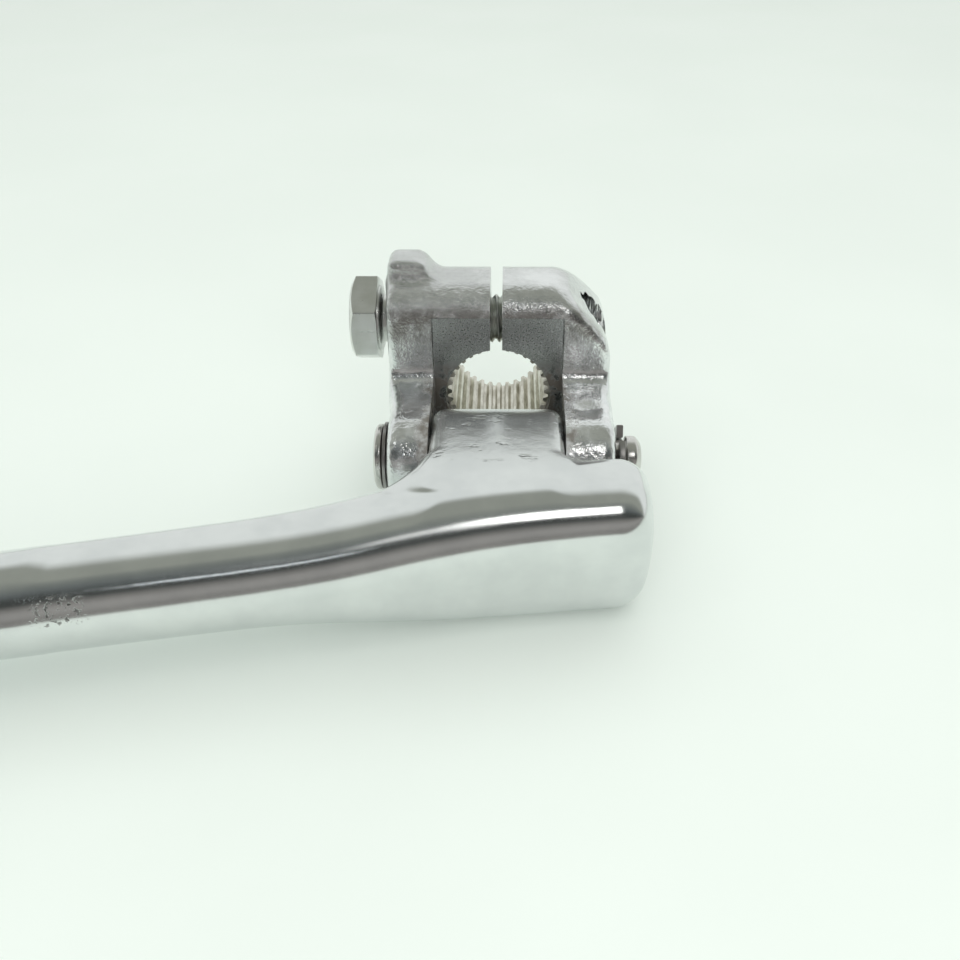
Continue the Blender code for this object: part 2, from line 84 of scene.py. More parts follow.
def surface(name, rings, sharp=30.0, flip=False):
    # rings is (rows, cols, 3): each ring closed round, both ends fanned shut
    rows, cols = rings.shape[:2]
    points = [rings.reshape(-1, 3)]
    faces = gridFaces(rows, cols).tolist()
    around = np.arange(cols)
    for row, turn in ((0, False), (rows - 1, True)):
        centre = rows * cols + len(points) - 1
        points.append(rings[row].mean(0)[None])
        a, b = row * cols + around, row * cols + (around + 1) % cols
        fan = np.stack([np.full(cols, centre), a, b] if turn else [np.full(cols, centre), b, a], -1)
        faces += fan.tolist()
    if flip:
        faces = [f[::-1] for f in faces]
    return meshFrom(name, np.concatenate(points), faces, sharp)


def turned(name, profile, centre, cols=96, sharp=30.0, axis="x"):
    # each ring is (along, radius * cos a, radius * sin a), profile from one end to the other
    along, radius = np.array(profile, float).T
    a = np.linspace(0, 2 * math.pi, cols, endpoint=False)
    rings = np.zeros((len(along), cols, 3))
    rings[..., 0] = along[:, None]
    rings[..., 1] = radius[:, None] * np.cos(a)
    rings[..., 2] = radius[:, None] * np.sin(a)
    if axis == "y":
        rings = np.stack([rings[..., 1], -rings[..., 0], rings[..., 2]], -1)
    return surface(name, rings + np.array(centre), sharp)


def rod(start, end, radius):  # the profile of a plain round cutter
    return [(start, 0.01), (start, radius), (end, radius), (end, 0.01)]


def prism(name, outline, axis, start, end):
    # a closed outline, (y, z) along x or (x, z) along y, made solid
    flat = np.array(outline, float)
    ends = []
    for at in (start, end):
        fixed = np.full(len(flat), at)
        u, v = flat.T
        ends.append(np.stack([fixed, u, v] if axis == "x" else [u, fixed, v], -1))
    count = len(flat)
    faces = gridFaces(2, count).tolist()
    faces += [list(range(count)), list(range(2 * count - 1, count - 1, -1))]
    made = meshFrom(name, np.concatenate(ends), faces, 0)
    outward(made)
    return made


def outward(piece):  # turn all faces to point out
    bm = bmesh.new()
    bm.from_mesh(piece.data)
    bmesh.ops.recalc_face_normals(bm, faces=bm.faces)
    bm.to_mesh(piece.data)
    bm.free()


def boolean(target, cutter, operation="DIFFERENCE"):  # cut now, and drop the cutter
    step = target.modifiers.new("cut", "BOOLEAN")
    step.operation, step.solver, step.object = operation, "EXACT", cutter
    graph = bpy.context.evaluated_depsgraph_get()
    cut = bpy.data.meshes.new_from_object(target.evaluated_get(graph))
    target.modifiers.clear()
    target.data = cut
    bpy.data.objects.remove(cutter)


def roundMeet(a, b, r):  # the part inside both fields, its edge rounded by r
    return np.minimum(-r, np.maximum(a, b)) + np.hypot(np.maximum(a + r, 0), np.maximum(b + r, 0))


def roundJoin(a, b, r):  # the part inside either field, the corner between them filled by r
    return np.maximum(r, np.minimum(a, b)) - np.hypot(np.maximum(r - a, 0), np.maximum(r - b, 0))


def ease(low, high, value):  # 0 below low, 1 above high, smooth between
    t = np.clip((value - low) / (high - low), 0, 1)
    return t * t * (3 - 2 * t)


def netSurface(field, low, high, step):
    # one point in each cell that the field's zero passes, at the mean of its edge crossings,
    # then four cells round each crossed edge make a face, and points slide on to the zero
    axes = [np.arange(a, b, step) for a, b in zip(low, high)]
    values = field(*np.meshgrid(*axes, indexing="ij"))
    cells = np.array(values.shape) - 1
    total, count = np.zeros((cells.prod(), 3)), np.zeros(cells.prod())
    crossings = []
    for axis in range(3):
        near = values[tuple(slice(0, -1) if k == axis else slice(None) for k in range(3))]
        far = values[tuple(slice(1, None) if k == axis else slice(None) for k in range(3))]
        at = np.argwhere((near < 0) != (far < 0))
        a, b = near[tuple(at.T)], far[tuple(at.T)]
        point = at.astype(float)
        point[:, axis] += a / (a - b)
        u, v = (axis + 1) % 3, (axis + 2) % 3
        ring = []
        for du, dv in ((0, 0), (1, 0), (1, 1), (0, 1)):
            cell = at.copy()
            cell[:, u] -= du
            cell[:, v] -= dv
            flat = np.ravel_multi_index(cell.T, cells)
            for k in range(3):
                total[:, k] += np.bincount(flat, point[:, k], len(total))
            count += np.bincount(flat, minlength=len(count))
            ring.append(flat)
        ring = np.stack(ring, -1)
        ring[a >= 0] = ring[a >= 0][:, ::-1]
        crossings.append(ring)
    used = np.flatnonzero(count)
    number = np.zeros(len(count), int)
    number[used] = np.arange(len(used))
    points = total[used] / count[used, None] * step + np.array(low)
    faces = number[np.concatenate(crossings)]
    for turn in range(3):
        points = onField(field, points)
    return points, faces


def onField(field, points, reach=1e-3):  # one Newton step towards the field's zero
    value = field(*points.T)
    slope = np.zeros_like(points)
    for k in range(3):
        shift = np.zeros(3)
        shift[k] = reach
        slope[:, k] = (field(*(points + shift).T) - field(*(points - shift).T)) / (2 * reach)
    size = np.maximum((slope**2).sum(1), 0.2)
    move = (value / size)[:, None] * slope
    return points - np.clip(move, -0.4, 0.4)


boss = {
    "right": 18.2,
    "top": 36.2,
    "crown": 5.5,  # radius of the front top edge
    "rear": 8.5,
    "legFillet": 2.4,
    "eyeRadius": 7.5,
    "legInner": 10.5,
    "leftTaper": 0.8,  # how much the left leg thins towards its eye
    "faceDepth": 0.4,  # how far the milled face lies behind the legs' fronts
    "faceTop": 32.3,
    "padTop": 39.3,
    "padFront": 5.6,
    "padRear": 14.2,
    "padRight": -11.3,
    "mouthRadius": 8.65,
    "mouthDepth": 1.45,
    "boreRoot": 8.4,
    "boreTip": 7.7,
    "serrations": 32,
    "slotWidth": 1.95,
    "slotShift": -0.3,
    "facetX": 10.3,  # where the right facet's plane crosses the top
    "facetNormal": (0.758, 0.651),
    "padNormal": (0.94, 0.34),
    "padSlopeTop": 38.0,
    "dent": (14.0, -8.7),  # in the right leg's level top
    "dentSize": (2.3, 1.9, 2.5),
    "dentDepth": 0.75,
    "netLow": (-19.5, -21.0, -1.5),
    "netHigh": (20.0, 19.6, 41.0),
    "cell": 0.4,
    "coarseCell": 0.7,
}
bolt = {
    "y": 9.0,
    "z": 28.0,
    "flats": 12.9,
    "head": 4.4,
    "length": 30.0,
    "backedOut": 1.9,
    "radius": 4.0,
    "clearance": 4.4,
    "tapped": 4.55,
    "pitch": 1.25,
    "depth": 0.62,
    "turnDeg": 28.0,
}


def bossField(x, y, z):
    # clamp block with round top edges, legs with a level top and a round eye, facet, pad and dent
    b = boss
    level = pinZ + b["eyeRadius"]
    block = roundMeet(-y, z - b["top"], b["crown"])
    block = np.maximum(block, roundMeet(y - bossDepth, z - b["top"], b["rear"]))
    block = np.maximum(block, roundMeet(y - bossDepth, -z, 2.0))
    eye = np.hypot(y - pinY, z - pinZ) - b["eyeRadius"]
    legTop = np.maximum(z - level, pinY - y)
    leg = np.minimum(eye, np.maximum(legTop, y - 3.0))
    slope = (pinZ - b["eyeRadius"] * 0.9) / (1.0 - pinY)  # the web under the legs
    under = (-z - slope * (y - 1.0)) / math.hypot(1, slope)
    leg = np.maximum(leg, np.where(y > pinY, under, -99.0))
    side = roundJoin(block, leg, b["legFillet"])
    side = np.maximum(side, -z)
    edge = 1.2 + 0.9 * ease(0.0, -4.0, y) + 1.0 * ease(7.0, 2.0, z) * ease(2.0, 8.0, y)
    left = bossLeft + b["leftTaper"] * ease(-1.0, -9.0, y)
    body = roundMeet(side, left - x, edge)
    body = roundMeet(body, x - b["right"], edge)
    along, up = b["facetNormal"]
    facet = (x - b["facetX"]) * along + (z - b["top"]) * up
    body = roundMeet(body, facet, 1.6)
    along, up = b["padNormal"]
    padSide = (x - b["padRight"]) * along + (z - b["padSlopeTop"]) * up
    padEnds = np.maximum(roundMeet(b["padFront"] - y, z - b["padTop"], 1.3),
                         roundMeet(y - b["padRear"], z - b["padTop"], 4.0))
    pad = roundMeet(padEnds, padSide, 1.6)
    pad = roundMeet(pad, bossLeft - x, 1.6)
    pad = np.maximum(pad, 30.0 - z)
    body = roundJoin(body, pad, 1.6)
    # the dent fades as exp(-d * d), d being the distance from its middle in shares of its size
    middle = (*b["dent"], level)
    far = sum(((v - m) / size) ** 2 for v, m, size in zip((x, y, z), middle, b["dentSize"]))
    return body + b["dentDepth"] * np.exp(-far)


def keyhole():  # serrated circle, open at the top into the slot
    b = boss
    half = b["slotWidth"] / 2
    tip, root = b["boreTip"], b["boreRoot"]
    points = []
    for tooth in range(b["serrations"]):
        for share, radius in ((-0.17, tip), (0.17, tip), (0.36, root), (0.64, root)):
            a = math.radians(90) - 2 * math.pi * (tooth + share) / b["serrations"]
            x, z = radius * math.cos(a), radius * math.sin(a)
            if not (z > 0 and abs(x - b["slotShift"]) < half + 0.05):
                points.append((x, boreZ + z))
    rim = boreZ + 8.1
    left, right = b["slotShift"] - half, b["slotShift"] + half

    def past(point):  # the angle round the bore from the slot
        return (math.atan2(point[1] - boreZ, point[0]) - math.pi / 2) % (2 * math.pi)

    points = sorted(points, key=lambda point: -past(point))
    return [(left, rim), (left, 45.0), (right, 45.0), (right, rim)] + points


def forkCut():  # the room between the legs, back to the milled face
    face, top = boss["faceDepth"], boss["faceTop"]
    return [(face, -5.0), (-24.0, -5.0), (-24.0, top), (face, top)]


def threadRings(start, end, radius, cols=48, perPitch=10):
    # the radius at (x, a) is the crest's less the depth times a clipped triangle wave of
    # x / pitch - a / whole turn
    b = bolt
    x = np.linspace(start, end, int((end - start) / b["pitch"] * perPitch) + 2)
    a = np.linspace(0, 2 * math.pi, cols, endpoint=False)
    phase = (x[:, None] / b["pitch"] - a / (2 * math.pi)) % 1.0
    wave = np.clip(np.abs(phase - 0.5) * 2.5 - 0.2, 0, 1)
    r = radius - b["depth"] * wave
    return np.stack([x[:, None] + 0 * r, b["y"] + r * np.cos(a), b["z"] + r * np.sin(a)], -1)


def makeBoss():
    cell = boss["cell" if fine else "coarseCell"]
    points, faces = netSurface(bossField, boss["netLow"], boss["netHigh"], cell)
    made = meshFrom("clamp_boss_cast", points, faces, 0)
    boolean(made, prism("bore_cut", keyhole(), "y", -2.0, 21.0))
    boolean(made, prism("fork_cut", forkCut(), "x", -boss["legInner"], boss["legInner"]))
    wide, face = boss["mouthRadius"], boss["faceDepth"]
    inside, tip = face + boss["mouthDepth"], boss["boreTip"]
    mouth = [(-2.0, 0.01), (-2.0, wide), (face, wide), (inside, tip), (inside, 0.01)]
    boolean(made, turned("mouth_cut", mouth, (0, 0, boreZ), 128, axis="y"))
    boolean(made, turned("pin_cut", rod(-22, 22, pin["radius"] + gap), (0, pinY, pinZ)))
    middle = (0, bolt["y"], bolt["z"])
    boolean(made, turned("bolt_cut", rod(-22, boss["slotShift"], bolt["clearance"]), middle))
    rings = threadRings(boss["slotShift"] - 0.4, 20.0, bolt["tapped"], perPitch=8)
    boolean(made, surface("thread_cut", rings))
    out = arm["lugHalf"] - detent["ball"] + detent["travel"]
    for y, z in ((pinY - detent["reach"], pinZ), (pinY, pinZ + detent["reach"])):
        pocket = ballProfile(detent["ball"] + gap)
        boolean(made, turned("detent_pocket", pocket, (out, y, z), 32))
    made.data.shade_smooth()
    made.data.set_sharp_from_angle(angle=math.radians(38))
    print("clamp boss:", len(made.data.polygons), "faces")
    return made


arm = {
    "z": 10.9,
    "end": 22.9,
    "lugHalf": 10.2,
    "eyeRadius": 7.6,
    "lugEdge": 2.2,
    "flareLeft": 7.5,
    "flareRight": 2.5,
    "bendStart": -165.0,
    "bendRadius": 16.0,
    "stemLength": 70.0,
    "stemRadius": 6.5,
    "slope": 0.215,
    "slopeLoss": 0.00166,
    "bendX": -15.0,
    "bendY": -32.0,
    "cols": 160,
}
# section of the arm at stations along x: half width, half height, and the radius of the front
# top corner and of the other three as shares of the half width
armStations = np.array([
    (30.0, 7.5, 10.65, 0.84, 0.64),
    (15.0, 7.5, 10.65, 0.86, 0.64),
    (3.0, 7.5, 10.6, 0.93, 0.65),
    (-6.0, 7.7, 10.2, 0.95, 0.71),
    (-12.0, 7.9, 9.7, 0.95, 0.77),
    (-17.0, 8.0, 9.1, 0.94, 0.82),
    (-21.0, 8.0, 8.5, 0.94, 0.87),
    (-26.0, 7.8, 8.0, 0.94, 0.92),
    (-35.0, 7.6, 7.6, 0.97, 0.96),
    (-52.0, 7.5, 7.5, 1.0, 1.0),
    (-70.0, 7.35, 7.35, 1.0, 1.0),
    (-120.0, 7.15, 7.15, 1.0, 1.0),
    (-165.0, 6.95, 6.95, 1.0, 1.0),
    (-200.0, 6.95, 6.95, 1.0, 1.0),
])[::-1]


def armTable():  # the stations' values, softened along x so that the arm has no kinks
    x = np.arange(-200.0, 30.1, 0.5)
    kernel = np.exp(-0.5 * (np.arange(-24, 25) / 8.0) ** 2)
    kernel /= kernel.sum()
    columns = []
    for k in (1, 2, 3, 4):
        value = np.interp(x, armStations[:, 0], armStations[:, k])
        columns.append(np.convolve(np.pad(value, 24, "edge"), kernel, "valid"))
    return x, columns


armX, armColumns = armTable()


def armCentre(x):  # the centre line leans evenly and straightens out towards the head's end
    past = np.maximum(x - arm["bendX"], 0.0)
    return arm["bendY"] + arm["slope"] * (x - arm["bendX"]) - arm["slopeLoss"] * past**2


def armField(x, y, z):
    # head and bar as a rounded box about the centre line, joined to the lug by a rounded corner
    a = arm
    wide, high, front, rest = (np.interp(x, armX, column) for column in armColumns)
    aside, above = y - armCentre(x), z - a["z"]
    corner = wide * np.where((aside < 0) & (above > 0), front, rest)
    dy, dz = np.abs(aside) - wide + corner, np.abs(above) - high + corner
    outside = np.hypot(np.maximum(dy, 0), np.maximum(dz, 0))
    head = outside + np.minimum(np.maximum(dy, dz), 0) - corner
    headY = armCentre(0.0)
    # the neck's top falls to the head's own top towards the front
    rise = ease(-1.0, 9.0, aside)
    level = (pinZ + a["eyeRadius"]) * rise + (a["z"] + high - 0.03) * (1 - rise)
    neck = np.maximum(np.maximum(z - level, 1.6 - z), np.maximum(y - pinY, headY - y))
    eye = np.hypot(y - pinY, z - pinZ) - a["eyeRadius"]
    lug = roundMeet(np.minimum(eye, neck), np.abs(x) - a["lugHalf"], a["lugEdge"])
    flare = a["flareLeft"] + (a["flareRight"] - a["flareLeft"]) * ease(-8.0, 8.0, x)
    # no corner is filled where the legs' eyes pass, nor in front of the head's crest
    fill = ease(6.6, 9.5, pinY - y) * ease(-1.0, 6.0, aside)
    sides = roundJoin(head, lug, np.maximum(flare * fill, 0.05))
    # the filled corner stays below the lug's level top, a little rounder beside it
    beside = ease(7.0, 12.0, np.abs(x))
    crest = level + (a["z"] + high + 0.3 * rise - level) * beside
    sides = roundMeet(sides, z - crest, 0.05 + 1.3 * beside)
    sides = np.maximum(sides, 0.2 - z)
    domed = x - a["end"] + ((y - armCentre(x)) ** 2 + (z - a["z"]) ** 2) / 90.0
    return roundMeet(sides, domed, 4.2)


def armReach(x, low=0.0, high=44.0):
    # distance from the section's middle to the field's zero, along rays in the plane at x
    a = np.linspace(0, 2 * math.pi, arm["cols"], endpoint=False)
    cos, sin = np.cos(a)[None], np.sin(a)[None]
    x = x[:, None]
    y0, z0 = armCentre(x) + 4.0 * np.exp(-((x / 20.0) ** 2)), arm["z"]
    near, far = np.full((len(x), len(a)), low), np.full((len(x), len(a)), high)
    for turn in range(36):
        middle = (near + far) / 2
        inside = armField(x, y0 + middle * cos, z0 + middle * sin) < 0
        near, far = np.where(inside, middle, near), np.where(inside, far, middle)
    r = (near + far) / 2
    return np.stack([x + 0 * r, y0 + r * cos, z0 + r * sin], -1)


def spaced(start, end, count, toStart=1.0, toEnd=1.0):
    # numbers from start to end, closer together at an end whose power is above 1
    t = np.linspace(0, 1, count)
    t = t**toStart
    t = 1 - (1 - t) ** toEnd
    return start + (end - start) * t


def armRings():
    a = arm
    edge = a["lugHalf"]
    tiny = 1e-3
    parts = [
        spaced(a["end"] - 1e-4, 18.0, 30, toStart=2.2),
        spaced(18.0, edge + tiny, 30, toEnd=2.4)[1:],
        spaced(edge - tiny, 8.0, 18, toStart=2.0),
        np.linspace(8.0, -8.0, 34)[1:-1],
        spaced(-8.0, -edge + tiny, 18, toEnd=2.0),
        spaced(-edge - tiny, -24.0, 56, toStart=2.4),
        np.linspace(-24.0, -60.0, 40)[1:],
    ]
    rings = [armReach(p) for p in parts]
    steps = np.linspace(0, 1, 8)[1:-1, None, None]
    for at in (2, 5):  # fill the lug's flat sides
        near, far = rings[at - 1][-1], rings[at][0]
        rings[at] = np.concatenate([near + (far - near) * steps, rings[at]])
    return np.concatenate(rings + [armTail()])


def bendMiddle():
    lean = math.atan(arm["slope"])
    start = np.array([arm["bendStart"], armCentre(arm["bendStart"]), arm["z"]])
    return start + np.array([math.sin(lean), -math.cos(lean), 0]) * arm["bendRadius"]


def armStem():  # where the bend ends and the peg begins
    return bendMiddle() - np.array([arm["bendRadius"], 0, 0])


def armTail():  # circles carried along the straight bar, round the bend and down the peg
    a = arm
    lean = math.atan(a["slope"])
    x = np.linspace(-60.0, a["bendStart"], 60)[1:]
    tilt = lean * ease(-60.0, -120.0, x)
    centres = np.stack([x, armCentre(x), np.full_like(x, a["z"])], -1)
    middle = bendMiddle()
    turn = np.linspace(lean, math.pi / 2, 30)[1:]
    out = np.stack([-np.sin(turn), np.cos(turn), 0 * turn], -1)
    bend = middle + out * a["bendRadius"]
    down = np.array([0.5, 2, 4, 6, 20, 40, 60, 68.6, 69.3, 69.8, a["stemLength"]])
    peg = armStem() - np.stack([0 * down, down, 0 * down], -1)
    centre = np.concatenate([centres, bend, peg])
    angle = np.concatenate([tilt, turn, np.full(len(down), math.pi / 2)])
    r = np.interp(x, armX, armColumns[0])
    endR = np.array([a["stemRadius"]] * 8 + [6.3, 5.8, 5.0])
    r = np.concatenate([r, np.linspace(7.0, a["stemRadius"], len(turn)), endR])
    across = np.concatenate([1 / np.cos(lean - tilt), np.ones(len(turn) + len(down))])
    t = np.linspace(0, 2 * math.pi, a["cols"], endpoint=False)
    side = np.stack([-np.sin(angle), np.cos(angle), 0 * angle], -1)
    rings = centre[:, None] + (r * across)[:, None, None] * np.cos(t)[None, :, None] * side[:, None]
    rings[..., 2] += r[:, None] * np.sin(t)
    return rings


def makeArm():
    a = arm
    made = surface("kick_arm_forging", armRings(), 0, flip=True)
    # the block behind the lug that stops the arm at the boss, as (y, z)
    heel = [(0.05, 2.5), (0.05, 8.9), (-4.6, 9.4), (-8.0, 9.4),
            (-15.0, 7.0), (-15.0, 1.7), (-0.8, 1.7)]
    boolean(made, prism("lug_heel", heel, "x", -10.0, 10.0), "UNION")
    boolean(made, turned("lug_bore", rod(-12, 12, pin["radius"] + gap), (0, pinY, pinZ), 96))
    blind = rod(a["lugHalf"] - detent["depth"], 12, detent["ball"] + gap)
    boolean(made, turned("detent_hole", blind, (0, pinY - detent["reach"], pinZ), 48))
    made.data.shade_smooth()
    made.data.set_sharp_from_angle(angle=math.radians(40))
    print("kick arm:", len(made.data.polygons), "faces")
    return made


def makeBolt():
    b = bolt
    under = bossLeft - b["backedOut"]
    end = under - b["head"]
    half = b["flats"] / 2
    a = np.linspace(0, 2 * math.pi, 240, endpoint=False)
    across = (np.degrees(a) - b["turnDeg"]) % 60.0 - 30.0
    hexagon = half / np.cos(np.radians(across))
    # the head's radius is the hexagon's, held inside a cone at each end
    x = np.concatenate([spaced(end, end + 1.6, 26), spaced(end + 1.6, under - 0.7, 8)[1:],
                        spaced(under - 0.7, under, 12)[1:]])
    cone = np.minimum(half - 0.55 + (x - end) * 1.9, half + (under - x) * 4.0 + 0.55)
    r = np.minimum(hexagon[None], cone[:, None])
    cap = np.array([0.02, 1.5, 3.0, 4.4, 5.4, 5.9])
    dome = end - 0.28 * (1 - (cap / 6.15) ** 2)
    x = np.concatenate([dome, x, [under, under]])
    back = np.ones((2, len(a))) * [[5.8], [3.2]]
    r = np.concatenate([np.minimum(cap[:, None], hexagon), r, back])
    rings = np.stack([x[:, None] + 0 * r, b["y"] + r * np.cos(a), b["z"] + r * np.sin(a)], -1)
    head = surface("pinch_bolt_head", rings, 25)
    tip = under + b["length"]
    rings = threadRings(bossLeft + 2.0, tip, b["radius"])
    taper = np.clip((tip - rings[:, :, 0]) / 1.2, 0, 1)[..., None] * 0.75 + 0.25
    middle = np.array([0, b["y"], b["z"]])
    radial = rings - middle
    length = np.linalg.norm(radial[..., 1:], axis=-1, keepdims=True)
    limit = b["radius"] * taper
    radial[..., 1:] *= np.minimum(1, limit / length)
    thread = surface("pinch_bolt_thread", radial + middle, 50)
    collar = [
        (under - 0.4, 0.01), (under - 0.4, 5.4), (under + 0.25, 5.4),
        (under + 0.45, 5.1), (under + 0.45, 4.3), (under + 0.8, 3.95),
        (bossLeft + 2.2, 3.95), (bossLeft + 2.6, 3.5), (bossLeft + 2.6, 0.01),
    ]
    shank = turned("pinch_bolt_shank", filleted(collar, 0.12), middle, 96)
    return head, thread, shank


def filleted(points, radius, steps=5):  # a profile of (along, radius), its inner corners rounded
    points = np.array(points, float)
    out = [points[0]]
    for before, corner, after in zip(points, points[1:], points[2:]):
        u, v = before - corner, after - corner
        cut = min(radius, np.linalg.norm(u) / 2.2, np.linalg.norm(v) / 2.2)
        a, b = corner + u / np.linalg.norm(u) * cut, corner + v / np.linalg.norm(v) * cut
        t = np.linspace(0, 1, steps)[:, None]
        out += list((1 - t) ** 2 * a + 2 * t * (1 - t) * corner + t**2 * b)
    return out + [points[-1]]


pin = {
    "radius": 3.5,
    "headRadius": 5.2,
    "headLength": 1.3,
    "end": 22.7,
    "groove": 2.9,
    "clip": 1.0,
    "clipRadius": 5.2,
    "washer": 5.5,
}


def makePin():
    headRight = bossLeft + boss["leftTaper"] - 0.9
    headLeft = headRight - pin["headLength"]
    groove = boss["right"] + 0.3
    r = pin["radius"]
    head, low, end = pin["headRadius"], pin["groove"], pin["end"]
    profile = [
        (headLeft, 0.02), (headLeft, 4.5), (headLeft + 0.4, head), (headRight, head),
        (headRight, r), (groove, r), (groove, low), (groove + 1.6, low),
        (groove + 1.6, r), (end - 1.1, r), (end - 0.2, r - 1.1), (end, 0.02),
    ]
    return turned("pivot_pin_turned", filleted(profile, 0.35), (0, pinY, pinZ), 128, 30)


def makeWasher():
    end = bossLeft + boss["leftTaper"] - 0.2
    inner, outer = pin["radius"] + gap, pin["washer"]
    profile = [(end, inner), (end, outer), (end - 0.5, outer), (end - 0.5, inner)]
    return hoop("pin_head_washer_pressed", profile, 0.12, 0, 360)


def makeClip():
    start = boss["right"] + 0.6
    end = start + pin["clip"]
    inner, outer = pin["groove"] + gap, pin["clipRadius"]
    profile = [(start, inner), (end, inner), (end, outer), (start, outer)]
    return hoop("pin_circlip_sprung", profile, 0.2, 115, 425)


def hoop(name, profile, radius, startDeg, endDeg):  # a rounded section carried round the pin's axis
    section = np.array(filleted(profile + profile[:2], radius))[1:-1]
    whole = endDeg - startDeg >= 360
    a = np.radians(np.linspace(startDeg, endDeg, 121)[: 120 if whole else None])
    rings = np.zeros((len(a), len(section), 3))
    rings[..., 0] = section[:, 0]
    rings[..., 1] = pinY + section[:, 1] * np.cos(a)[:, None]
    rings[..., 2] = pinZ + section[:, 1] * np.sin(a)[:, None]
    if whole:
        faces = gridFaces(len(a) + 1, len(section)) % (len(a) * len(section))
        made = meshFrom(name, rings.reshape(-1, 3), faces, 35)
    else:
        made = surface(name, rings, 35)
    outward(made)
    return made


# the ball's radius, its distance from the pin's axis, its hole's depth, how far the pockets let
# it out, and the spring's wire radius and turns
detent = {"ball": 1.25, "reach": 5.8, "depth": 9.0, "travel": 0.65, "wire": 0.2, "turns": 6}


def ballProfile(radius):
    a = np.radians(np.linspace(0.4, 179.6, 40))
    return np.stack([-radius * np.cos(a), radius * np.sin(a)], -1)


def makeBall():
    d = detent
    middle = (arm["lugHalf"] - d["ball"], pinY - d["reach"], pinZ)
    return turned("detent_ball_polished", ballProfile(d["ball"]), middle, 64)


def makeSpring():
    # a helix: (x, coil * cos a, coil * sin a) with x growing evenly with a, a round wire about it
    d = detent
    coil = d["ball"] - d["wire"]
    start = arm["lugHalf"] - d["depth"] + gap + d["wire"]
    end = arm["lugHalf"] - 2 * d["ball"] - gap - d["wire"]
    t = np.linspace(0, 1, d["turns"] * 40 + 1)
    a = 2 * math.pi * d["turns"] * t
    centre = np.stack([start + (end - start) * t, coil * np.cos(a), coil * np.sin(a)], -1)
    out = np.stack([0 * a, np.cos(a), np.sin(a)], -1)
    along = np.gradient(centre, axis=0)
    along /= np.linalg.norm(along, axis=1, keepdims=True)
    side = np.cross(along, out)
    b = np.linspace(0, 2 * math.pi, 14, endpoint=False)[None, :, None]
    rings = centre[:, None] + d["wire"] * (np.cos(b) * out[:, None] + np.sin(b) * side[:, None])
    made = surface("detent_spring_wound", rings + np.array([0, pinY - d["reach"], pinZ]), 40)
    outward(made)
    return made


pedal = {"radius": 10.8, "ribDepth": 1.6, "ribs": 11, "start": 4.0, "tip": 5.0}


def makeRubber():
    p = pedal
    r = p["radius"]
    length = arm["stemLength"] - p["start"] + gap + p["tip"]
    x = np.linspace(4.0, length - 7.5, p["ribs"] * 16 + 1)
    phase = (x - 4.0) / (length - 11.5) * p["ribs"] % 1.0
    dip = ease(0.08, 0.26, phase) * (1 - ease(0.64, 0.82, phase))
    ribs = np.stack([x, r - p["ribDepth"] * dip], -1)
    nose = [(length - 5.5, r), (length - 2.6, r - 0.7), (length - 0.9, r - 2.6),
            (length - 0.2, 5.6), (length, 3.0), (length, 0.02)]
    inner = arm["stemLength"] - p["start"] + gap
    mouth = [(0.35, 6.8), (0.0, 7.2), (0.0, r - 1.8), (0.5, r - 0.7), (1.5, r - 0.1), (3.0, r)]
    profile = [(inner, 0.02), (inner, 6.8)] + mouth + ribs.tolist() + nose
    centre = armStem() - np.array([0, p["start"], 0])
    made = turned("pedal_rubber_moulded", profile, centre, 128, 50, "y")
    outward(made)
    return made


class Wire:  # one output socket, with arithmetic
    def __init__(self, finish, socket):
        self.finish = finish
        self.socket = socket

    def maths(self, operation, *values):
        return self.finish.node("ShaderNodeMath", {"operation": operation}, values)

    def __add__(self, other): return self.maths("ADD", self, other)
    def __radd__(self, other): return self.maths("ADD", other, self)
    def __sub__(self, other): return self.maths("SUBTRACT", self, other)
    def __rsub__(self, other): return self.maths("SUBTRACT", other, self)
    def __mul__(self, other): return self.maths("MULTIPLY", self, other)
    def __rmul__(self, other): return self.maths("MULTIPLY", other, self)
    def __truediv__(self, other): return self.maths("DIVIDE", self, other)
    def __pow__(self, other): return self.maths("POWER", self, other)
    def __abs__(self): return self.maths("ABSOLUTE", self)

    def ramp(self, low, high):  # 0 below low, 1 above high, smooth between
        sockets = {"Value": self, "From Min": low, "From Max": high}
        return self.finish.node("ShaderNodeMapRange", {"interpolation_type": "SMOOTHSTEP"}, sockets)


